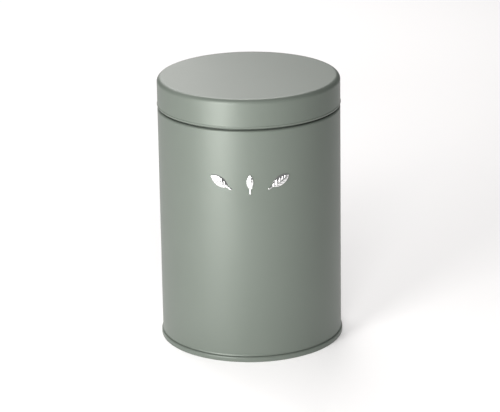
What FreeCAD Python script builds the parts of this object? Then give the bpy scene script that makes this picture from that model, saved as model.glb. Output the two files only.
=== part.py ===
"""Round storage tin for tea: a necked steel can, its seamed-on base, a slip-on lid and three leaf ornaments.

Units are millimetres. +Z is up, the origin is the centre of the base where the tin stands, and -Y is the
front, where the ornaments sit. The tin is shut, so its can is one solid up to the inside of the lid.

    tin_can      straight wall, rounded shoulder, and the neck that the lid slips over
    base_end     double seam that the tin stands on, with the recessed bottom panel inside it
    lid          pressed cap with a rounded top edge and a rolled hem round its open edge
    leaf_*       raised leaf or bud with a ridged blade and a short stalk, stuck on the curved wall
"""

import FreeCAD
import Part
import math
import os

# Overall sizes
height = 148.3
body_radius = 50.0
sheet = 0.4

# Lid
lid_depth = 15.8
lid_edge_round = 1.9
hem_height = 2.6
hem_layers = 2
hem_round = 0.45
hem_flare = 0.15
neck_clearance = 0.2

# Can
lid_gap = 1.2
shoulder_round = 0.8

# Base seam
seam_height = 3.4
seam_proud = 0.65
seam_width = 2.4
seam_top_round = 0.55
seam_foot_round = 0.85
panel_corner_round = 0.9

# Leaf ornaments
leaf_relief = 1.3
leaf_edge = 0.45
stalk_length = 2.3
stalk_width = 1.1
stalk_root = 1.6
leaf_drop = 28.4
leaf_length = 11.6
leaf_width = 5.6
bud_length = 9.2
bud_width = 4.2
leaf_tilt_deg = 58.0
leaf_turn_deg = 19.0

# Worked out from the sizes above
hem_thickness = hem_layers * sheet
neck_radius = body_radius - sheet - hem_thickness - neck_clearance
lid_bottom = height - lid_depth
shoulder_height = lid_bottom - lid_gap
neck_top = height - sheet
lid_inside_round = max(lid_edge_round - sheet, 0)
seam_outer_radius = body_radius + seam_proud
seam_inner_radius = seam_outer_radius - seam_width
panel_underside = seam_height - sheet
leaf_centre_height = shoulder_height - leaf_drop

X_AXIS = FreeCAD.Vector(1, 0, 0)
Y_AXIS = FreeCAD.Vector(0, 1, 0)
Z_AXIS = FreeCAD.Vector(0, 0, 1)
ORIGIN = FreeCAD.Vector(0, 0, 0)


def corner_arc(before, corner, after, radius):
    """Start, middle and end of the arc that rounds one corner of an outline."""
    to_before = (before - corner).normalize()
    to_after = (after - corner).normalize()
    half_angle = to_before.getAngle(to_after) / 2
    inwards = (to_before + to_after).normalize()
    setback = radius / math.tan(half_angle)
    reach = radius / math.sin(half_angle) - radius
    return corner + to_before * setback, corner + inwards * reach, corner + to_after * setback


def outline(corners):
    """Closed wire in the XZ plane through (radius, height, rounding) corners."""
    points = [FreeCAD.Vector(r, 0, z) for r, z, _ in corners]
    edges = []
    first_start = None
    previous_end = None
    for i, (_, _, rounding) in enumerate(corners):
        before, here, after = points[i - 1], points[i], points[(i + 1) % len(points)]
        start, middle, end = here, here, here
        if rounding > 0:
            start, middle, end = corner_arc(before, here, after, rounding)
        if previous_end is None:
            first_start = start
        else:
            edges.append(Part.LineSegment(previous_end, start).toShape())
        if rounding > 0:
            edges.append(Part.Arc(start, middle, end).toShape())
        previous_end = end
    edges.append(Part.LineSegment(previous_end, first_start).toShape())
    return Part.Wire(edges)


def turned(corners):
    """Solid of revolution about Z from an outline of rounded corners."""
    return Part.Face(outline(corners)).revolve(ORIGIN, Z_AXIS, 360)


def make_can():
    """Wall, shoulder and neck of the can."""
    shoulder_limit = 0.9 * (body_radius - neck_radius)
    return turned([
        (0, seam_height, 0),
        (body_radius, seam_height, 0),
        (body_radius, shoulder_height, min(shoulder_round, shoulder_limit)),
        (neck_radius, shoulder_height, 0),
        (neck_radius, neck_top, lid_inside_round),
        (0, neck_top, 0),
    ])


def make_base():
    """Seam ring with the bottom panel set up inside it."""
    return turned([
        (0, panel_underside, 0),
        (seam_inner_radius, panel_underside, min(panel_corner_round, 0.45 * panel_underside)),
        (seam_inner_radius, 0, min(seam_foot_round, 0.4 * seam_width)),
        (seam_outer_radius, 0, min(seam_foot_round, 0.4 * seam_width)),
        (seam_outer_radius, seam_height, min(seam_top_round, 0.9 * seam_proud)),
        (0, seam_height, 0),
    ])


def make_lid():
    """Cap with a rounded top edge; its skirt ends in a hem folded inwards."""
    inside_radius = body_radius - sheet
    hem_radius = inside_radius - hem_thickness
    hem_top = lid_bottom + hem_height
    return turned([
        (0, height, 0),
        (body_radius, height, lid_edge_round),
        (body_radius, hem_top, 0),
        (body_radius + hem_flare, lid_bottom, hem_round),
        (hem_radius, lid_bottom, min(hem_round, 0.45 * hem_thickness)),
        (hem_radius, hem_top, min(hem_round, 0.45 * hem_thickness)),
        (inside_radius, hem_top, 0),
        (inside_radius, neck_top, lid_inside_round),
        (0, neck_top, 0),
    ])


def make_blade(blade_length, blade_width):
    """Leaf blade lying on the XY plane with its tips along Y: two ball caps meet in its ridge."""
    half_length = blade_length / 2
    half_width = blade_width / 2
    rise = leaf_relief - leaf_edge
    ridge_radius = (half_length**2 / rise + rise) / 2
    side_shift = (half_length**2 - half_width**2) / (2 * half_width)
    ball_radius = math.hypot(ridge_radius, side_shift)
    flanks = []
    for side in (-1, 1):
        middle = side * side_shift
        ball = Part.makeSphere(ball_radius, FreeCAD.Vector(middle, 0, leaf_relief - ridge_radius))
        post_foot = FreeCAD.Vector(middle, 0, -leaf_relief)
        flanks.append(ball.common(Part.makeCylinder(side_shift + half_width, 2 * leaf_relief, post_foot)))
    return flanks[0].common(flanks[1])


def make_stalk(blade_length, tilt_deg):
    """Round-ended stalk on the XY plane, from inside the foot of the blade down to the wall."""
    foot = blade_length / 2 + stalk_length - stalk_width / 2
    sag = body_radius - math.sqrt(body_radius**2 - (foot * math.sin(math.radians(tilt_deg)))**2)
    start = FreeCAD.Vector(0, stalk_root - blade_length / 2, 0)
    end = FreeCAD.Vector(0, -foot, -sag)
    bar = Part.makeCylinder(stalk_width / 2, start.distanceToPoint(end), start, end - start)
    return bar.fuse(Part.makeSphere(stalk_width / 2, end))


def make_leaf(blade_length, blade_width, tilt_deg, turn_deg):
    """One leaf with its stalk, seated on the wall and turned round the tin."""
    leaf = make_blade(blade_length, blade_width).fuse(make_stalk(blade_length, tilt_deg))
    upright = FreeCAD.Rotation(X_AXIS, 90)
    tilted = FreeCAD.Rotation(Y_AXIS, tilt_deg)
    leaf.Placement = FreeCAD.Placement(FreeCAD.Vector(0, -body_radius, leaf_centre_height), tilted * upright)
    reach = blade_length + stalk_length
    wall_foot = FreeCAD.Vector(0, 0, leaf_centre_height - reach)
    leaf = leaf.cut(Part.makeCylinder(body_radius, 2 * reach, wall_foot))
    leaf.rotate(ORIGIN, Z_AXIS, turn_deg)
    return leaf


def main():
    """Writes one STEP file for each piece of the tin."""
    pieces = {
        "tin_can": make_can(),
        "base_end": make_base(),
        "lid": make_lid(),
        "leaf_left": make_leaf(leaf_length, leaf_width, -leaf_tilt_deg, -leaf_turn_deg),
        "leaf_bud": make_leaf(bud_length, bud_width, 0, 0),
        "leaf_right": make_leaf(leaf_length, leaf_width, leaf_tilt_deg, leaf_turn_deg),
    }
    os.makedirs("parts", exist_ok=True)
    for name, shape in pieces.items():
        shape.exportStep(f"parts/{name}.step")
        print(f"{name}: {len(shape.Solids)} solid, {shape.Volume:.1f} mm3, valid {shape.isValid()}")


main()
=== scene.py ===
"""Visual model of a round painted steel tea tin, with the floor, light and camera it is shown under.

Lengths are metres, +Z is up and -Y is the front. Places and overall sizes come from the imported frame; the
sizes of the detail that each class adds are its fields.
"""

import logging
import math
from dataclasses import asdict, dataclass, field
from enum import Enum

import bmesh
import bpy
from mathutils import Matrix, Vector


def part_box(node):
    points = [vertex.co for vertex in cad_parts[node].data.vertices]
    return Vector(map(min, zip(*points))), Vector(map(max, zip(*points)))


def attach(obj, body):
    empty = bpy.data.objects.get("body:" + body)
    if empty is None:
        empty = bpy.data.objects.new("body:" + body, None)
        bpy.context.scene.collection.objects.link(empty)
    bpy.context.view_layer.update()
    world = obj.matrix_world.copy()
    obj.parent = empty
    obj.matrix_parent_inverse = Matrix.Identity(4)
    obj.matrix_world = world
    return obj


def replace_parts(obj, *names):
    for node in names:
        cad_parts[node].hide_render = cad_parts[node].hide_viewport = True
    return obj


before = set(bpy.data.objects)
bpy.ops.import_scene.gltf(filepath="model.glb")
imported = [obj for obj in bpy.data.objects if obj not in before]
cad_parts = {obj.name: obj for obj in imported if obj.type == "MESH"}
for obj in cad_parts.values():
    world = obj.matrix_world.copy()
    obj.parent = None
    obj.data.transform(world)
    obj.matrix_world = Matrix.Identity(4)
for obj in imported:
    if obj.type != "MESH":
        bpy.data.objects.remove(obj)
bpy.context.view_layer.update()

MM = 0.001
BODY = "root"
LOG = logging.getLogger("tea_tin")

# Points closer than this are merged: in a tree's mesh, in a finished mesh, and along a tiny edge
TREE_MERGE = 1e-6
MESH_MERGE = 1e-7
DEGENERATE = 1e-8

# Rounding put on the sharp edges of a piece
BEVEL_SEGMENTS = 3
SHARP_EDGE_DEG = 50.0


class Slot(Enum):
    """Names of material slots."""

    PAINT = "sage_paint"
    METAL = "bright_metal"


# ---------------------------------------------------------------------------------------------------------
# Node helpers
# ---------------------------------------------------------------------------------------------------------


@dataclass(frozen=True)
class Quantity:
    """A number carried by a node socket; arithmetic on it adds Math nodes to its tree.

    Args:
        tree: Node tree that the socket belongs to.
        socket: Output socket that carries the number.
    """

    tree: bpy.types.NodeTree
    socket: bpy.types.NodeSocket

    def apply(self, operation: str, *others: "Quantity | float") -> "Quantity":
        """Adds one Math node with this number as its first input.

        Args:
            operation: Name of the Math node's operation.
            others: Further inputs, in order.

        Returns:
            The node's result.
        """
        node = self.tree.nodes.new("ShaderNodeMath")
        node.operation = operation
        self.tree.links.new(self.socket, node.inputs[0])
        for index, other in enumerate(others, start=1):
            if isinstance(other, Quantity):
                self.tree.links.new(other.socket, node.inputs[index])
            else:
                node.inputs[index].default_value = other
        return Quantity(self.tree, node.outputs[0])

    def __add__(self, other: "Quantity | float") -> "Quantity":
        """Sum."""
        return self.apply("ADD", other)

    def __sub__(self, other: "Quantity | float") -> "Quantity":
        """Difference."""
        return self.apply("SUBTRACT", other)

    def __mul__(self, other: "Quantity | float") -> "Quantity":
        """Product."""
        return self.apply("MULTIPLY", other)

    def __truediv__(self, other: "Quantity | float") -> "Quantity":
        """Quotient."""
        return self.apply("DIVIDE", other)

    def __abs__(self) -> "Quantity":
        """Size without the sign."""
        return self.apply("ABSOLUTE")

    def minus_from(self, start: float) -> "Quantity":
        """The given number less this one."""
        return (self * -1.0) + start

    def squared(self) -> "Quantity":
        """This number times itself."""
        return self * self

    def root(self) -> "Quantity":
        """Square root, with anything below zero taken as zero."""
        return self.apply("MAXIMUM", 0.0).apply("SQRT")


class NodeWriter:
    """Adds named inputs, nodes and links to one node tree.

    Args:
        tree: Node tree to write into.
    """

    def __init__(self, tree: bpy.types.NodeTree) -> None:
        """Starts without a Group Input node."""
        self.tree = tree
        self._inputs: bpy.types.Node | None = None

    def group_inputs(self) -> bpy.types.Node:
        """The tree's Group Input node, made at first use.

        Returns:
            The node.
        """
        if self._inputs is None:
            self._inputs = self.tree.nodes.new("NodeGroupInput")
        return self._inputs

    def add_input(self, name: str, kind: str, default: float | int | None = None) -> None:
        """Adds a named input to the tree.

        Args:
            name: Name of the input.
            kind: Socket type, without its NodeSocket prefix.
            default: Value it has until one is given.
        """
        socket = self.tree.interface.new_socket(name, in_out="INPUT", socket_type=f"NodeSocket{kind}")
        if default is not None:
            socket.default_value = default

    def add_output(self, name: str, kind: str) -> None:
        """Adds a named output to the tree."""
        self.tree.interface.new_socket(name, in_out="OUTPUT", socket_type=f"NodeSocket{kind}")

    def given(self, name: str) -> Quantity:
        """The number that comes in by the named input."""
        return Quantity(self.tree, self.group_inputs().outputs[name])

    def node(self, kind: str, links: dict[str, object] | None = None, **settings: object) -> bpy.types.Node:
        """Adds a node.

        Args:
            kind: Blender's type name of the node.
            links: Input name to a socket, a Quantity or a plain value.
            settings: Attributes to set before its inputs are filled.

        Returns:
            The new node.
        """
        made = self.tree.nodes.new(kind)
        for name, value in settings.items():
            setattr(made, name, value)
        for name, value in (links or {}).items():
            self.fill(self.open_input(made, name), value)
        return made

    @staticmethod
    def open_input(node: bpy.types.Node, name: str) -> bpy.types.NodeSocket:
        """The node's enabled input of that name."""
        return next(s for s in node.inputs if s.name == name and s.enabled)

    def fill(self, target: bpy.types.NodeSocket, value: object) -> None:
        """Links or sets one input socket.

        Args:
            target: The socket.
            value: Quantity or socket to link, or plain value to set.
        """
        if isinstance(value, Quantity):
            self.tree.links.new(value.socket, target)
        elif isinstance(value, bpy.types.NodeSocket):
            self.tree.links.new(value, target)
        else:
            target.default_value = value

    def constant(self, value: float) -> Quantity:
        """Adds a number as a node of its own.

        Args:
            value: The number.

        Returns:
            The node's result.
        """
        made = self.node("ShaderNodeValue")
        made.outputs[0].default_value = value
        return Quantity(self.tree, made.outputs[0])

    def noise(self, place: bpy.types.NodeSocket, size: str, detail: float, roughness: float) -> Quantity:
        """Adds cloudy noise.

        Args:
            place: Where it is looked up.
            size: Name of the input that gives the size of its clouds.
            detail: Number of finer layers in it.
            roughness: Strength of the finer layers.

        Returns:
            The noise, from 0 to 1.
        """
        made = self.node("ShaderNodeTexNoise", {
            "Vector": place, "Scale": self.constant(1.0) / self.given(size),
            "Detail": detail, "Roughness": roughness})
        return Quantity(self.tree, made.outputs[0])

    def vector(self, x: object, y: object, z: object) -> bpy.types.NodeSocket:
        """Joins three numbers into one vector."""
        return self.node("ShaderNodeCombineXYZ", {"X": x, "Y": y, "Z": z}).outputs[0]

    def parts(self, vector: bpy.types.NodeSocket) -> tuple[Quantity, Quantity, Quantity]:
        """Splits a vector into its three numbers."""
        split = self.node("ShaderNodeSeparateXYZ", {"Vector": vector})
        return tuple(Quantity(self.tree, out) for out in split.outputs)

    def merge(self, geometry: bpy.types.NodeSocket, distance: float) -> bpy.types.NodeSocket:
        """Merges the points of a mesh that are closer together than the distance."""
        made = self.node("GeometryNodeMergeByDistance", {"Geometry": geometry, "Distance": distance})
        return made.outputs[0]

    def ramp(self, value: Quantity, low: float, high: float, smooth: bool = True) -> Quantity:
        """Rises from 0 to 1 while the value goes from low to high.

        Args:
            value: Number to measure.
            low: Value that gives 0.
            high: Value that gives 1.
            smooth: Whether the rise eases in and out.

        Returns:
            The clamped result.
        """
        shape = "SMOOTHSTEP" if smooth else "LINEAR"
        made = self.node("ShaderNodeMapRange", {"Value": value, "From Min": low, "From Max": high},
                         interpolation_type=shape)
        return Quantity(self.tree, made.outputs[0])


def new_geometry_tree(name: str) -> NodeWriter:
    """Starts a Geometry Nodes tree with geometry in and out and a material input.

    Args:
        name: Name of the tree.

    Returns:
        A writer for it.
    """
    writer = NodeWriter(bpy.data.node_groups.new(name, "GeometryNodeTree"))
    writer.add_input("Geometry", "Geometry")
    writer.add_input("Material", "Material")
    writer.add_output("Geometry", "Geometry")
    return writer


def finish_geometry_tree(writer: NodeWriter, geometry: bpy.types.NodeSocket) -> bpy.types.NodeTree:
    """Ends a tree in Realize Instances, Set Shade Smooth and Set Material.

    Args:
        writer: Writer of the tree.
        geometry: What the tree has made.

    Returns:
        The finished tree.
    """
    real = writer.node("GeometryNodeRealizeInstances", {"Geometry": geometry})
    smooth = writer.node("GeometryNodeSetShadeSmooth", {"Geometry": real.outputs[0]})
    dressed = writer.node("GeometryNodeSetMaterial", {
        "Geometry": smooth.outputs[0],
        "Material": writer.group_inputs().outputs["Material"],
    })
    writer.node("NodeGroupOutput", {"Geometry": dressed.outputs[0]})
    return writer.tree


def plain_mesh(name: str, base: bpy.types.Mesh, tree: bpy.types.NodeTree,
               values: dict[str, object], bevel: float = 0.0) -> bpy.types.Object:
    """Runs a Geometry Nodes tree on a mesh and keeps the result as a plain mesh object.

    Args:
        name: Name of the new object.
        base: Mesh that the tree starts from.
        tree: Tree to run.
        values: Input name to value.
        bevel: Width of the rounding put on sharp edges afterwards, or 0 for none.

    Returns:
        An object at the origin with the finished mesh, its faces pointing outwards.
    """
    made = bpy.data.objects.new(name, base)
    bpy.context.scene.collection.objects.link(made)
    nodes = made.modifiers.new("shape", "NODES")
    nodes.node_group = tree
    for item in tree.interface.items_tree:
        if item.in_out == "INPUT" and item.name in values:
            nodes[item.identifier] = values[item.name]
    if bevel > 0:
        rounding = made.modifiers.new("edges", "BEVEL")
        rounding.width = bevel
        rounding.segments = BEVEL_SEGMENTS
        rounding.limit_method = "ANGLE"
        rounding.angle_limit = math.radians(SHARP_EDGE_DEG)
        rounding.use_clamp_overlap = True
    graph = bpy.context.evaluated_depsgraph_get()
    mesh = bpy.data.meshes.new_from_object(made.evaluated_get(graph), depsgraph=graph)
    made.modifiers.clear()
    made.data = mesh
    mesh.name = name
    bpy.data.meshes.remove(base)
    turn_outwards(mesh)
    return made


def turn_outwards(mesh: bpy.types.Mesh) -> None:
    """Merges doubles and points every face of a closed mesh outwards.

    Args:
        mesh: Mesh to work on.
    """
    work = bmesh.new()
    work.from_mesh(mesh)
    bmesh.ops.remove_doubles(work, verts=work.verts, dist=MESH_MERGE)
    bmesh.ops.dissolve_degenerate(work, edges=work.edges, dist=DEGENERATE)
    bmesh.ops.recalc_face_normals(work, faces=work.faces)
    work.to_mesh(mesh)
    work.free()


# ---------------------------------------------------------------------------------------------------------
# Finishes
# ---------------------------------------------------------------------------------------------------------


# Span of the noise over which the cloudy mask rises
CLOUD_SPAN = (0.3, 0.7)


def fine_relief_group() -> bpy.types.NodeTree:
    """Shader group for the skin of a sprayed or plated surface: a soft orange peel with finer grain on it.

    Returns:
        The group.
    """
    writer = NodeWriter(bpy.data.node_groups.new("Fine Relief", "ShaderNodeTree"))
    writer.add_input("Peel Size", "Float", 1.2 * MM)
    writer.add_input("Grain Size", "Float", 0.15 * MM)
    writer.add_input("Grain Share", "Float", 0.2)
    writer.add_output("Height", "Float")
    place = writer.node("ShaderNodeTexCoord").outputs["Object"]
    peel = writer.noise(place, "Peel Size", detail=1.0, roughness=0.4)
    grain = writer.noise(place, "Grain Size", detail=1.0, roughness=0.4)
    height = peel + grain * writer.given("Grain Share")
    writer.node("NodeGroupOutput", {"Height": height})
    return writer.tree


def soft_variation_group() -> bpy.types.NodeTree:
    """Shader group for slow unevenness: a cloudy mask and a roughness that follows it.

    Returns:
        The group.
    """
    writer = NodeWriter(bpy.data.node_groups.new("Soft Variation", "ShaderNodeTree"))
    writer.add_input("Cloud Size", "Float", 35 * MM)
    writer.add_input("Roughness", "Float", 0.3)
    writer.add_input("Spread", "Float", 0.04)
    writer.add_output("Mask", "Float")
    writer.add_output("Roughness", "Float")
    place = writer.node("ShaderNodeTexCoord").outputs["Object"]
    mask = writer.ramp(writer.noise(place, "Cloud Size", detail=2.0, roughness=0.5), *CLOUD_SPAN)
    roughness = writer.given("Roughness") + (mask - 0.5) * writer.given("Spread")
    writer.node("NodeGroupOutput", {"Mask": mask, "Roughness": roughness})
    return writer.tree


class SharedEffects:
    """Shader groups that several finishes place with their own values."""

    def __init__(self) -> None:
        """Makes both groups."""
        self.relief = fine_relief_group()
        self.variation = soft_variation_group()


@dataclass(frozen=True)
class Finish:
    """A surface finish: a base colour that drifts a little, a roughness, and a fine relief.

    Args:
        name: Name of the material.
        colour: Linear base colour.
        drift: Linear base colour at the other end of its slow drift.
        metallic: How metallic the base is.
        roughness: Middle of the roughness.
        roughness_spread: How far the roughness drifts.
        specular: Specular level of a non-metal base.
        peel_size: Distance between the bumps of the orange peel.
        relief_height: Height of the fine relief.
    """

    name: str
    colour: tuple[float, float, float]
    drift: tuple[float, float, float]
    metallic: float
    roughness: float
    roughness_spread: float
    specular: float
    peel_size: float
    relief_height: float

    def build(self, effects: SharedEffects) -> bpy.types.Material:
        """Makes the material.

        Args:
            effects: Shader groups to place in it.

        Returns:
            The new material.
        """
        material = bpy.data.materials.new(self.name)
        material.use_nodes = True
        writer = NodeWriter(material.node_tree)
        writer.tree.nodes.clear()
        variation = writer.node("ShaderNodeGroup", {
            "Roughness": self.roughness, "Spread": self.roughness_spread}, node_tree=effects.variation)
        relief = writer.node("ShaderNodeGroup", {"Peel Size": self.peel_size}, node_tree=effects.relief)
        tone = writer.node("ShaderNodeMix", data_type="RGBA")
        tone_inputs = [s for s in tone.inputs if s.enabled]
        writer.fill(tone_inputs[0], variation.outputs["Mask"])
        writer.fill(tone_inputs[1], (*self.colour, 1.0))
        writer.fill(tone_inputs[2], (*self.drift, 1.0))
        tone_colour = next(s for s in tone.outputs if s.enabled)
        bump = writer.node("ShaderNodeBump", {
            "Height": relief.outputs["Height"], "Strength": 1.0, "Distance": self.relief_height})
        surface = writer.node("ShaderNodeBsdfPrincipled", {
            "Base Color": tone_colour, "Metallic": self.metallic,
            "Roughness": variation.outputs["Roughness"], "Specular IOR Level": self.specular,
            "Normal": bump.outputs["Normal"]})
        writer.node("ShaderNodeOutputMaterial", {"Surface": surface.outputs[0]})
        return material


SAGE_ENAMEL = Finish(
    name="sage_enamel",
    colour=(0.128, 0.151, 0.129), drift=(0.132, 0.155, 0.133),
    metallic=0.2, roughness=0.44, roughness_spread=0.02, specular=0.5,
    peel_size=1.1 * MM, relief_height=0.004 * MM)

POLISHED_METAL = Finish(
    name="polished_metal",
    colour=(0.86, 0.865, 0.86), drift=(0.83, 0.835, 0.83),
    metallic=1.0, roughness=0.07, roughness_spread=0.04, specular=0.5,
    peel_size=0.8 * MM, relief_height=0.0015 * MM)


# ---------------------------------------------------------------------------------------------------------
# Turned pieces
# ---------------------------------------------------------------------------------------------------------


# Distance of the support points on outlines with small roundings
FINE_SUPPORT = 0.06 * MM

# Keeps a row number that divides evenly from falling into the column before it
COLUMN_GUARD = 1e-4

# Share of the wall's radius over which the weld line rises
WELD_RISE = (0.98, 0.995)


@dataclass
class Outline:
    """Half section of a turned piece, drawn from one point of the axis round to another.

    Args:
        arc_steps: Number of steps in a rounded corner.
        support: Distance from an arc's ends to the extra points that keep the faces beside it flat.
        corners: Corners so far, each a radius, a height and a rounding.
    """

    arc_steps: int = 8
    support: float = 0.15 * MM
    corners: list[tuple[float, float, float]] = field(default_factory=list)

    def corner(self, radius: float, height: float, rounding: float = 0.0) -> "Outline":
        """Adds a corner.

        Args:
            radius: Distance from the axis.
            height: Height above the floor.
            rounding: Radius of the arc that rounds the corner, or 0 for a sharp one.

        Returns:
            This outline.
        """
        self.corners.append((radius, height, rounding))
        return self

    def points(self) -> list[Vector]:
        """The outline as points, with arcs divided into steps and support points beside them.

        Returns:
            The points, in order.
        """
        flat = [Vector((r, 0.0, z)) for r, z, _ in self.corners]
        found: list[Vector] = []
        for index, (_, _, rounding) in enumerate(self.corners):
            here = flat[index]
            if rounding <= 0 or index in (0, len(flat) - 1):
                found += self.beside(here, flat, index)
                continue
            towards_last = (flat[index - 1] - here).normalized()
            towards_next = (flat[index + 1] - here).normalized()
            half = towards_last.angle(towards_next) / 2
            setback = rounding / math.tan(half)
            centre = here + (towards_last + towards_next).normalized() * rounding / math.sin(half)
            start = here + towards_last * setback
            sweep = math.pi - 2 * half
            first = start - centre
            across = (here + towards_next * setback) - centre
            side = (across - first * math.cos(sweep)) / math.sin(sweep)
            found.append(start + towards_last * self.support)
            for step in range(self.arc_steps + 1):
                angle = sweep * step / self.arc_steps
                found.append(centre + first * math.cos(angle) + side * math.sin(angle))
            found.append(here + towards_next * (setback + self.support))
        return found

    def beside(self, here: Vector, flat: list[Vector], index: int) -> list[Vector]:
        """A sharp corner with a support point on each side, so that shading stays crisp there.

        Args:
            here: The corner.
            flat: All corners.
            index: Number of this corner.

        Returns:
            The corner and its support points, in order.
        """
        found = [here]
        if index > 0:
            found.insert(0, here + (flat[index - 1] - here).normalized() * self.support)
        if index < len(flat) - 1:
            found.append(here + (flat[index + 1] - here).normalized() * self.support)
        return found

    def mesh(self, name: str) -> bpy.types.Mesh:
        """The outline as a chain of vertices.

        Args:
            name: Name of the mesh.

        Returns:
            The new mesh.
        """
        chain = self.points()
        made = bpy.data.meshes.new(name)
        made.from_pydata([p[:] for p in chain], [(i, i + 1) for i in range(len(chain) - 1)], [])
        return made


def turned_shell_tree() -> bpy.types.NodeTree:
    """Geometry Nodes tree that turns an outline about the Z axis, with an optional weld line up the back.

    Returns:
        The tree.
    """
    writer = new_geometry_tree("Turned Shell")
    writer.add_input("Segments", "Int", 384)
    writer.add_input("Weld Height", "Float", 0.0)
    writer.add_input("Weld Width", "Float", 3 * MM)
    writer.add_input("Wall Radius", "Float", 50 * MM)
    outline = writer.group_inputs().outputs["Geometry"]
    size = writer.node("GeometryNodeAttributeDomainSize", {"Geometry": outline}, component="MESH")
    rows = Quantity(writer.tree, size.outputs["Point Count"])
    segments = writer.given("Segments")
    grid = writer.node("GeometryNodeMeshGrid", {
        "Size X": 1.0, "Size Y": 1.0, "Vertices X": segments + 1.0, "Vertices Y": rows})
    index = Quantity(writer.tree, writer.node("GeometryNodeInputIndex").outputs[0])
    column = (index / rows + COLUMN_GUARD).apply("FLOOR")
    row = index - column * rows
    drawn = writer.node("GeometryNodeSampleIndex", {
        "Geometry": outline, "Value": writer.node("GeometryNodeInputPosition").outputs[0], "Index": row,
    }, data_type="FLOAT_VECTOR", domain="POINT")
    radius, _, height = writer.parts(drawn.outputs[0])
    turn = column / segments * math.tau
    from_back = abs(turn - math.pi) * radius / writer.given("Weld Width") * 2.0
    on_wall = writer.ramp(radius / writer.given("Wall Radius"), *WELD_RISE)
    weld = writer.ramp(from_back.minus_from(1.0), 0.0, 1.0) * on_wall * writer.given("Weld Height")
    reach = radius + weld
    place = writer.vector(reach * turn.apply("SINE"), reach * turn.apply("COSINE") * -1.0, height)
    turned = writer.node("GeometryNodeSetPosition", {"Geometry": grid.outputs["Mesh"], "Position": place})
    return finish_geometry_tree(writer, writer.merge(turned.outputs[0], TREE_MERGE))


@dataclass
class TinSizes:
    """Sizes shared by the tin's pieces; those without a value here are read from the frame.

    Args:
        body_radius: Radius of the wall.
        lid_top: Height of the lid's top.
        lid_bottom: Height of the lid's lower edge.
        seam_radius: Outer radius of the base seam.
        seam_top: Height at which the wall meets the base seam.
        neck_top: Height of the can's neck.
        lid_gap: Gap between the lid and the shoulder.
        seam_groove: Height of the groove over the base seam.
        neck_step: How far the neck is set in from the wall.
        sheet: Thickness of the sheet.
    """

    body_radius: float
    lid_top: float
    lid_bottom: float
    seam_radius: float
    seam_top: float
    neck_top: float
    lid_gap: float = 1.2 * MM
    seam_groove: float = 0.45 * MM
    neck_step: float = 2.4 * MM
    sheet: float = 0.4 * MM

    @classmethod
    def from_frame(cls) -> "TinSizes":
        """Reads the sizes from the boxes of the frame's nodes.

        Returns:
            The tin's sizes.
        """
        can_low, can_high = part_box("tin_can")
        lid_low, lid_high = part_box("lid")
        base_low, base_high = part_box("base_end")
        return cls(body_radius=(can_high[0] - can_low[0]) / 2, lid_top=lid_high[2], lid_bottom=lid_low[2],
                   seam_radius=(base_high[0] - base_low[0]) / 2, seam_top=base_high[2], neck_top=can_high[2])

    @property
    def shoulder_height(self) -> float:
        """Height of the can's shoulder, one gap below the lid."""
        return self.lid_bottom - self.lid_gap

    @property
    def bead_top(self) -> float:
        """Height of the seam's upper edge, one groove below the wall's foot."""
        return self.seam_top - self.seam_groove

    @property
    def neck_radius(self) -> float:
        """Radius of the neck that the lid slips over."""
        return self.body_radius - self.neck_step


@dataclass
class TurnedPiece:
    """What the can, the base end and the lid have in common.

    Args:
        sizes: Sizes of the tin.
        tree: Tree that turns an outline.
        finish: Material of the piece.
        segments: Number of steps round the tin.
    """

    sizes: TinSizes
    tree: bpy.types.NodeTree
    finish: bpy.types.Material
    segments: int = 384

    def turn(self, name: str, outline: Outline, weld: dict[str, float] | None = None) -> bpy.types.Object:
        """Turns an outline into a closed piece and dresses it.

        Args:
            name: Name of the piece.
            outline: Its half section.
            weld: Sizes of the weld line up its back, or None for no weld.

        Returns:
            The finished piece, riding on the tin.
        """
        piece = plain_mesh(name, outline.mesh(name), self.tree, {
            "Segments": self.segments, "Wall Radius": self.sizes.body_radius,
            "Material": self.finish, **(weld or {})})
        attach(piece, BODY)
        return piece


@dataclass
class Can(TurnedPiece):
    """Wall, shoulder and neck of the can.

    Args:
        shoulder_round: Radius of the shoulder.
        foot_flare: How far the wall flares out above the base seam.
        foot_rise: Height over which it flares.
        foot_round: Radius of the hollow curve that the flare starts with.
        foot_lip: Radius of the flare's lower edge.
        foot_overlap: How far the can reaches down past the seam's upper edge.
        groove_depth: Depth of the groove between the wall's foot and the seam.
        neck_round: Radius of the neck's upper edge.
        weld_height: Height of the weld line up the back of the wall.
        weld_width: Width of that line.
    """

    shoulder_round: float = 1.0 * MM
    foot_flare: float = 0.24 * MM
    foot_rise: float = 0.65 * MM
    foot_round: float = 1.6 * MM
    foot_lip: float = 0.05 * MM
    foot_overlap: float = 0.2 * MM
    groove_depth: float = 0.6 * MM
    neck_round: float = 1.2 * MM
    weld_height: float = 0.1 * MM
    weld_width: float = 3 * MM

    def build(self) -> bpy.types.Object:
        """Makes the can, in the place of its plain node.

        Returns:
            The finished piece.
        """
        s = self.sizes
        foot = s.bead_top - self.foot_overlap
        groove_radius = s.body_radius - self.groove_depth
        outline = Outline(support=FINE_SUPPORT)
        outline.corner(0.0, foot).corner(groove_radius, foot)
        outline.corner(groove_radius, s.seam_top)
        outline.corner(s.body_radius + self.foot_flare, s.seam_top, self.foot_lip)
        outline.corner(s.body_radius, s.seam_top + self.foot_rise, self.foot_round)
        outline.corner(s.body_radius, s.shoulder_height, self.shoulder_round)
        outline.corner(s.neck_radius, s.shoulder_height)
        outline.corner(s.neck_radius, s.neck_top, self.neck_round)
        outline.corner(0.0, s.neck_top)
        weld = {"Weld Height": self.weld_height, "Weld Width": self.weld_width}
        piece = self.turn("can_body", outline, weld)
        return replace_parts(piece, "tin_can")


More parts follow.
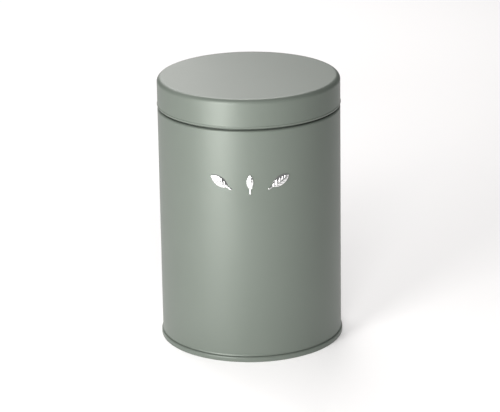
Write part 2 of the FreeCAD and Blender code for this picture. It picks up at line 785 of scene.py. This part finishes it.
@dataclass
class BaseEnd(TurnedPiece):
    """Double seam that the tin stands on, with the recessed panel inside it.

    Args:
        seam_width: Width of the seam's foot.
        top_round: Radius of the seam's upper edge.
        foot_round: Radius of the seam's lower outer edge.
        inner_round: Radius of its lower inner edge.
        panel_round: Radius between the panel and the seam.
        bead_inset: Distance from the seam to the stiffening bead of the panel.
        bead_depth: Depth of that bead.
        bead_width: Width of that bead.
        bead_flank: Share of its width that each flank takes.
        bead_round: Radius of its edges.
    """

    seam_width: float = 2.4 * MM
    top_round: float = 0.9 * MM
    foot_round: float = 0.45 * MM
    inner_round: float = 0.85 * MM
    panel_round: float = 0.9 * MM
    bead_inset: float = 5 * MM
    bead_depth: float = 0.7 * MM
    bead_width: float = 2.6 * MM
    bead_flank: float = 0.3
    bead_round: float = 0.6 * MM

    def build(self) -> bpy.types.Object:
        """Makes the base end, in the place of its plain node.

        Returns:
            The finished piece.
        """
        s = self.sizes
        inner = s.seam_radius - self.seam_width
        panel = s.seam_top - s.sheet
        bead = inner - self.bead_inset
        outline = Outline(support=FINE_SUPPORT)
        outline.corner(0.0, panel)
        for share in (1.0, 1.0 - self.bead_flank, self.bead_flank, 0.0):
            drop = 0.0 if share in (0.0, 1.0) else self.bead_depth
            outline.corner(bead - self.bead_width * share, panel - drop, self.bead_round)
        outline.corner(inner, panel, self.panel_round)
        outline.corner(inner, 0.0, self.inner_round)
        outline.corner(s.seam_radius, 0.0, self.foot_round)
        outline.corner(s.seam_radius, s.bead_top, self.top_round)
        outline.corner(0.0, s.bead_top)
        piece = self.turn("base_seam", outline)
        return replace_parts(piece, "base_end")


@dataclass
class Lid(TurnedPiece):
    """Slip-on cap with a rounded top edge and a hemmed lower edge.

    Args:
        edge_round: Radius of the rounded top edge.
        hem_height: Height of the hem folded up inside.
        hem_layers: Layers of sheet that the hem adds.
        hem_bulge: How far the hem stands out from the skirt.
        hem_rise: Height over which it swells out.
        hem_tuck: Height over which it tucks back in to the lower edge.
        hem_round: Radius of the lower outer edge.
        swell_round: Radius where the swelling starts.
        bulge_round: Radius of the widest line.
        fold_round: Radius of the edges inside.
        crown_round: Radius between the skirt and the top, inside.
        arc_steps: Number of steps in a rounded corner.
    """

    edge_round: float = 2.6 * MM
    hem_height: float = 2.6 * MM
    hem_layers: int = 2
    hem_bulge: float = 0.25 * MM
    hem_rise: float = 0.5 * MM
    hem_tuck: float = 0.8 * MM
    hem_round: float = 0.12 * MM
    swell_round: float = 0.6 * MM
    bulge_round: float = 0.2 * MM
    fold_round: float = 0.35 * MM
    crown_round: float = 1.5 * MM
    arc_steps: int = 14

    def build(self) -> bpy.types.Object:
        """Makes the lid, in the place of its plain node.

        Returns:
            The finished piece.
        """
        s = self.sizes
        inside = s.body_radius - s.sheet
        hem_inside = inside - self.hem_layers * s.sheet
        hem_top = s.lid_bottom + self.hem_height
        widest = s.lid_bottom + self.hem_tuck
        outline = Outline(self.arc_steps)
        outline.corner(0.0, s.lid_top)
        outline.corner(s.body_radius, s.lid_top, self.edge_round)
        outline.corner(s.body_radius, widest + self.hem_rise, self.swell_round)
        outline.corner(s.body_radius + self.hem_bulge, widest, self.bulge_round)
        outline.corner(s.body_radius, s.lid_bottom, self.hem_round)
        outline.corner(hem_inside, s.lid_bottom, self.fold_round)
        outline.corner(hem_inside, hem_top, self.fold_round)
        outline.corner(inside, hem_top)
        outline.corner(inside, s.neck_top, self.crown_round)
        outline.corner(0.0, s.neck_top)
        piece = self.turn("lid_cap", outline)
        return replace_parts(piece, "lid")


# ---------------------------------------------------------------------------------------------------------
# Leaf ornaments
# ---------------------------------------------------------------------------------------------------------


# Spans over which the grooves of a blade rise and fade, as shares of the wave or of the blade's width
VEIN_WAVE = (0.4, 1.0)
VEIN_FROM_MIDRIB = (0.04, 0.3)
VEIN_FROM_EDGE = (0.25, 0.5)
VEIN_NEAR_TIPS = (0.25, 0.6)
MIDRIB_NEAR_TIPS = (0.2, 0.7)

# Vertices across and along a blade, and steps round and along a stalk
BLADE_GRID = (97, 129)
STALK_STEPS = (24, 16)

# Middle thickness of the stalk as a share of its radius, and how much it loses towards the blade
STALK_MIDDLE = 0.95
STALK_TAPER = 0.12


@dataclass(frozen=True)
class LeafDetail:
    """Sizes that all the ornaments share.

    Args:
        relief: Height of the ridge over the wall.
        edge: Height of the flanks over the wall at their edges, before the bevel.
        sink: How far the foot goes into the wall.
        bevel_width: Width of the bevel along the edges.
        bevel_foot: Height over the wall at which the bevel ends.
        vein_spacing: Distance between veins along the blade.
        vein_depth: Depth of a vein.
        vein_slant: How far a vein runs along the blade for each step across it.
        midrib_depth: Depth of the midrib.
        midrib_width: Width of the midrib.
        stalk_length: Length of the stalk outside the blade.
        stalk_radius: Radius of the stalk.
        stalk_root: Length of the stalk inside the blade.
    """

    relief: float = 1.3 * MM
    edge: float = 0.45 * MM
    sink: float = 0.1 * MM
    bevel_width: float = 0.45 * MM
    bevel_foot: float = 0.06 * MM
    vein_spacing: float = 1.9 * MM
    vein_depth: float = 0.2 * MM
    vein_slant: float = 1.1
    midrib_depth: float = 0.36 * MM
    midrib_width: float = 0.8 * MM
    stalk_length: float = 2.3 * MM
    stalk_radius: float = 0.55 * MM
    stalk_root: float = 1.6 * MM

    def inputs(self) -> dict[str, float]:
        """Each size under the name of its input in the leaf tree."""
        return {name.replace("_", " ").title(): size for name, size in asdict(self).items()}


def leaf_tree(detail: LeafDetail) -> bpy.types.NodeTree:
    """Geometry Nodes tree for one raised leaf with veins and a stalk, bent to the tin's wall.

    Args:
        detail: Sizes of the detail, which its inputs start from.

    Returns:
        The tree.
    """
    writer = new_geometry_tree("Raised Leaf")
    for name in ("Length", "Width", "Tilt", "Turn", "Wall Radius", "Centre Height"):
        writer.add_input(name, "Float")
    for name, size in detail.inputs().items():
        writer.add_input(name, "Float", size)
    blade = blade_surface(writer)
    stalk = stalk_surface(writer)
    both = writer.node("GeometryNodeJoinGeometry")
    writer.tree.links.new(blade, both.inputs[0])
    writer.tree.links.new(stalk, both.inputs[0])
    across, along, out = writer.parts(writer.node("GeometryNodeInputPosition").outputs[0])
    tilt = writer.given("Tilt")
    round_wall = across * tilt.apply("COSINE") + along * tilt.apply("SINE")
    up_wall = along * tilt.apply("COSINE") - across * tilt.apply("SINE")
    radius = writer.given("Wall Radius")
    angle = round_wall / radius + writer.given("Turn")
    reach = radius + out
    place = writer.vector(reach * angle.apply("SINE"), reach * angle.apply("COSINE") * -1.0,
                          up_wall + writer.given("Centre Height"))
    bent = writer.node("GeometryNodeSetPosition", {"Geometry": both.outputs[0], "Position": place})
    return finish_geometry_tree(writer, bent.outputs[0])


def blade_surface(writer: NodeWriter) -> bpy.types.NodeSocket:
    """Closed leaf blade, flat on the XY plane with its tips along Y.

    Across the blade the grid runs over the two flanks, down their edges and under the foot. The flanks are
    parts of two balls that meet in the middle. The midrib is sunk there, veins slant out from it, and a
    bevel brings each flank down to the wall.

    Args:
        writer: Writer of the leaf tree.

    Returns:
        The blade's geometry.
    """
    top, edge, foot = 1.0, 1.25, 1.5
    grid = writer.node("GeometryNodeMeshGrid", {
        "Size X": 2 * foot, "Size Y": 1.0, "Vertices X": BLADE_GRID[0], "Vertices Y": BLADE_GRID[1]})
    step, share, _ = writer.parts(writer.node("GeometryNodeInputPosition").outputs[0])
    half_length = writer.given("Length") * 0.5
    half_width = writer.given("Width") * 0.5
    rise = writer.given("Relief") - writer.given("Edge")
    ridge_radius = (half_length.squared() / rise + rise) * 0.5
    side_shift = (half_length.squared() - half_width.squared()) / (half_width * 2.0)
    along = share * 2.0 * half_length
    local_width = ((side_shift + half_width).squared() - along.squared()).root() - side_shift
    local_width = local_width.apply("MAXIMUM", 0.0)
    side = step.apply("SIGN")
    out_step = abs(step)
    on_flank = out_step.apply("MINIMUM", top)
    under = (out_step - edge).apply("MAXIMUM", 0.0) / (foot - edge)
    across = side * on_flank * local_width * under.minus_from(1.0)
    ball = ridge_radius.squared() + side_shift.squared()
    cap = (ball - (abs(across) + side_shift).squared() - along.squared()).root()
    bevel_foot = writer.given("Bevel Foot")
    inset = local_width * on_flank.minus_from(1.0)
    bevel = writer.ramp(inset / writer.given("Bevel Width"), 0.0, 1.0, smooth=False)
    flank = bevel_foot + (cap - ridge_radius + writer.given("Relief") - bevel_foot) * bevel
    slanted = (along - abs(across) * writer.given("Vein Slant")) / writer.given("Vein Spacing")
    wave = (slanted * math.tau).apply("COSINE")
    groove = writer.ramp(wave, *VEIN_WAVE)
    edge_fade = writer.ramp(on_flank.minus_from(1.0), *VEIN_FROM_EDGE)
    fade = writer.ramp(on_flank, *VEIN_FROM_MIDRIB) * edge_fade
    narrow = writer.ramp(local_width / half_width, *VEIN_NEAR_TIPS)
    beside_midrib = abs(across) / writer.given("Midrib Width") * 2.0
    midrib_fade = writer.ramp(local_width / half_width, *MIDRIB_NEAR_TIPS)
    midrib = writer.ramp(beside_midrib.minus_from(1.0), 0.0, 1.0) * midrib_fade
    veined = flank - groove * fade * narrow * writer.given("Vein Depth")
    carved = veined - midrib * writer.given("Midrib Depth")
    down = writer.ramp(out_step, top, edge, smooth=False)
    sink = writer.given("Sink") * -1.0
    out = carved + (sink - carved) * down
    placed = writer.node("GeometryNodeSetPosition", {
        "Geometry": grid.outputs["Mesh"], "Position": writer.vector(across, along, out)})
    return writer.merge(placed.outputs[0], 2 * TREE_MERGE)


def stalk_surface(writer: NodeWriter) -> bpy.types.NodeSocket:
    """Round-ended stalk on the XY plane that starts inside the foot of the blade.

    Args:
        writer: Writer of the leaf tree.

    Returns:
        The stalk's geometry.
    """
    ball = writer.node("GeometryNodeMeshUVSphere", {
        "Segments": STALK_STEPS[0], "Rings": STALK_STEPS[1], "Radius": 1.0})
    x, y, z = writer.parts(writer.node("GeometryNodeInputPosition").outputs[0])
    radius = writer.given("Stalk Radius")
    length = writer.given("Stalk Length") + writer.given("Stalk Root")
    straight = length * 0.5 - radius
    middle = writer.given("Length") * -0.5 + writer.given("Stalk Root") - length * 0.5
    along = z * radius + z.apply("SIGN") * straight + middle
    taper = (z * STALK_TAPER).minus_from(STALK_MIDDLE)
    place = writer.vector(x * radius * taper, along, y * radius * taper)
    placed = writer.node("GeometryNodeSetPosition", {"Geometry": ball.outputs["Mesh"], "Position": place})
    return placed.outputs[0]


@dataclass(frozen=True)
class LeafPlace:
    """Where one ornament sits and how large it is.

    Args:
        node: Node of the frame that it stands for.
        piece: Name of the finished piece.
        length: Length of the blade.
        width: Width of the blade.
        tilt_deg: Lean from upright; right is positive.
    """

    node: str
    piece: str
    length: float
    width: float
    tilt_deg: float


@dataclass
class LeafSprig:
    """Bud between two leaves, raised on the front of the wall.

    Args:
        sizes: Sizes of the tin.
        tree: Tree that makes one leaf.
        finish: Material of the ornaments.
        centre_drop: Distance from the shoulder down to the middle of the row.
        turn_deg: How far round the tin the leaves stand from the bud.
        edge_bevel: Width of the rounding on sharp edges.
        leaves: The ornaments.
    """

    sizes: TinSizes
    tree: bpy.types.NodeTree
    finish: bpy.types.Material
    centre_drop: float = 28.4 * MM
    turn_deg: float = 19.0
    edge_bevel: float = 0.1 * MM
    leaves: tuple[LeafPlace, ...] = (
        LeafPlace("leaf_left", "leaf_raised_left", 11.6 * MM, 5.6 * MM, -58.0),
        LeafPlace("leaf_bud", "leaf_raised_bud", 9.2 * MM, 4.2 * MM, 0.0),
        LeafPlace("leaf_right", "leaf_raised_right", 11.6 * MM, 5.6 * MM, 58.0),
    )

    def build(self) -> list[bpy.types.Object]:
        """Makes the three ornaments, in the places of their plain nodes.

        Returns:
            The finished ornaments.
        """
        made = []
        for place in self.leaves:
            turn = math.copysign(self.turn_deg, place.tilt_deg) if place.tilt_deg else 0.0
            start = bpy.data.meshes.new(place.piece)
            start.from_pydata([(0.0, 0.0, 0.0)], [], [])
            leaf = plain_mesh(place.piece, start, self.tree, {
                "Length": place.length, "Width": place.width, "Tilt": math.radians(place.tilt_deg),
                "Turn": math.radians(turn), "Wall Radius": self.sizes.body_radius,
                "Centre Height": self.sizes.shoulder_height - self.centre_drop, "Material": self.finish,
            }, bevel=self.edge_bevel)
            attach(leaf, BODY)
            made.append(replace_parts(leaf, place.node))
        return made


# ---------------------------------------------------------------------------------------------------------
# Stage
# ---------------------------------------------------------------------------------------------------------


@dataclass(frozen=True)
class SoftBox:
    """Rectangular lamp that faces the tin.

    Args:
        name: Name of the lamp.
        azimuth_deg: Bearing seen from the tin; 0 is the front and 90 the right.
        distance: Distance from the tin's axis, along the floor.
        height: Height of its middle.
        width: Width of the lamp.
        tall: Height of the lamp.
        radiance: Brightness of its face.
        aim: Height of the point on the tin's axis that it faces.
        mirrored: Whether shiny surfaces mirror it.
        colour: Linear colour of its light.
    """

    name: str
    azimuth_deg: float
    distance: float
    height: float
    width: float
    tall: float
    radiance: float
    aim: float = 0.08
    mirrored: bool = True
    colour: tuple[float, float, float] = (1.0, 0.975, 0.97)

    def build(self) -> bpy.types.Object:
        """Makes the lamp.

        Returns:
            The lamp.
        """
        data = bpy.data.lights.new(self.name, "AREA")
        data.shape = "RECTANGLE"
        data.size = self.width
        data.size_y = self.tall
        data.color = self.colour
        data.energy = self.radiance * math.pi * self.width * self.tall
        lamp = bpy.data.objects.new(self.name, data)
        bearing = math.radians(self.azimuth_deg)
        lamp.location = (self.distance * math.sin(bearing), -self.distance * math.cos(bearing), self.height)
        facing = Vector((0.0, 0.0, self.aim)) - lamp.location
        lamp.rotation_euler = facing.to_track_quat("-Z", "Y").to_euler()
        lamp.visible_camera = False
        lamp.visible_glossy = self.mirrored
        bpy.context.scene.collection.objects.link(lamp)
        return lamp


@dataclass
class Studio:
    """Floor, lamps and surroundings.

    Args:
        floor_half: Half the floor's width.
        floor_grey: Linear grey of the floor.
        floor_glow: Light that the floor gives of itself.
        room_light: Strength of the even light from all round.
        lamps: The lamps.
    """

    floor_half: float = 3.0
    floor_grey: float = 0.86
    floor_glow: float = 0.14
    room_light: float = 0.2
    lamps: tuple[SoftBox, ...] = (
        SoftBox("strip_left", azimuth_deg=-45.0, distance=0.4, height=0.12,
                width=0.12, tall=0.22, radiance=5.8, aim=0.12),
        SoftBox("strip_front_left", azimuth_deg=-30.0, distance=0.4, height=0.2,
                width=0.12, tall=0.38, radiance=10.9, aim=0.2),
        SoftBox("panel_front", azimuth_deg=0.0, distance=0.9, height=0.6,
                width=0.4, tall=0.38, radiance=12.0, mirrored=False),
        SoftBox("panel_back_left", azimuth_deg=-170.0, distance=0.9, height=0.6,
                width=0.4, tall=0.38, radiance=2.4),
        SoftBox("panel_back_high", azimuth_deg=180.0, distance=0.9, height=1.0,
                width=0.4, tall=0.38, radiance=10.8),
        SoftBox("panel_left_high", azimuth_deg=-150.0, distance=0.9, height=1.0,
                width=0.4, tall=0.38, radiance=6.2),
        SoftBox("glow_back_left", azimuth_deg=-165.0, distance=0.4, height=0.2,
                width=0.14, tall=0.18, radiance=1.4),
    )

    def build(self) -> None:
        """Makes all of the stage."""
        self.build_floor()
        self.build_room()
        for lamp in self.lamps:
            lamp.build()
            LOG.info("lamp %s", lamp.name)

    def build_floor(self) -> None:
        """Lays a plain pale floor."""
        half = self.floor_half
        mesh = bpy.data.meshes.new("floor")
        mesh.from_pydata([(-half, -half, 0), (half, -half, 0), (half, half, 0), (-half, half, 0)], [],
                         [(0, 1, 2, 3)])
        floor = bpy.data.objects.new("floor", mesh)
        bpy.context.scene.collection.objects.link(floor)
        material = bpy.data.materials.new("floor_white")
        material.use_nodes = True
        writer = NodeWriter(material.node_tree)
        writer.tree.nodes.clear()
        matt = writer.node("ShaderNodeBsdfDiffuse", {"Color": (*[self.floor_grey] * 3, 1.0)})
        glow = writer.node("ShaderNodeEmission", {"Strength": self.floor_glow})
        surface = writer.node("ShaderNodeAddShader")
        writer.tree.links.new(matt.outputs[0], surface.inputs[0])
        writer.tree.links.new(glow.outputs[0], surface.inputs[1])
        writer.node("ShaderNodeOutputMaterial", {"Surface": surface.outputs[0]})
        mesh.materials.append(material)

    def build_room(self) -> None:
        """Fills the surroundings with an even dim light."""
        world = bpy.data.worlds.new("room")
        world.use_nodes = True
        background = world.node_tree.nodes["Background"]
        background.inputs["Color"].default_value = (1.0, 1.0, 1.0, 1.0)
        background.inputs["Strength"].default_value = self.room_light
        bpy.context.scene.world = world
        bpy.context.scene.view_settings.view_transform = "Standard"


@dataclass(frozen=True)
class StudioCamera:
    """Long lens looking down on the tin from the front.

    Args:
        place: Position of the camera.
        pitch_deg: How far it looks down.
        roll_deg: How far it is rolled clockwise.
        lens: Focal length in millimetres.
        sensor: Sensor width in millimetres.
        farthest: Farthest distance that it shows.
    """

    place: tuple[float, float, float] = (-0.00022, -1.3076, 0.51595)
    pitch_deg: float = 18.724
    roll_deg: float = 0.883
    lens: float = 179.43
    sensor: float = 36.0
    farthest: float = 100.0

    def build(self) -> bpy.types.Object:
        """Makes the camera and gives it to the scene.

        Returns:
            The camera.
        """
        data = bpy.data.cameras.new("camera")
        data.lens = self.lens
        data.sensor_width = self.sensor
        data.clip_end = self.farthest
        camera = bpy.data.objects.new("camera", data)
        aim = Matrix.Rotation(math.radians(90.0 - self.pitch_deg), 4, "X")
        roll = Matrix.Rotation(math.radians(-self.roll_deg), 4, "Z")
        camera.matrix_world = Matrix.Translation(self.place) @ aim @ roll
        bpy.context.scene.collection.objects.link(camera)
        bpy.context.scene.camera = camera
        return camera


def main() -> None:
    """Builds the tin and its stage, and reports each piece."""
    logging.basicConfig(level=logging.INFO, format="%(name)s: %(message)s")
    sizes = TinSizes.from_frame()
    effects = SharedEffects()
    paint = SAGE_ENAMEL.build(effects)
    metal = POLISHED_METAL.build(effects)
    shell = turned_shell_tree()
    pieces = [part(sizes, shell, paint).build() for part in (Can, BaseEnd, Lid)]
    pieces += LeafSprig(sizes, leaf_tree(LeafDetail()), metal).build()
    for piece in pieces:
        LOG.info("piece %s: %d faces", piece.name, len(piece.data.polygons))
    Studio().build()
    StudioCamera().build()


if __name__ == "__main__":
    main()
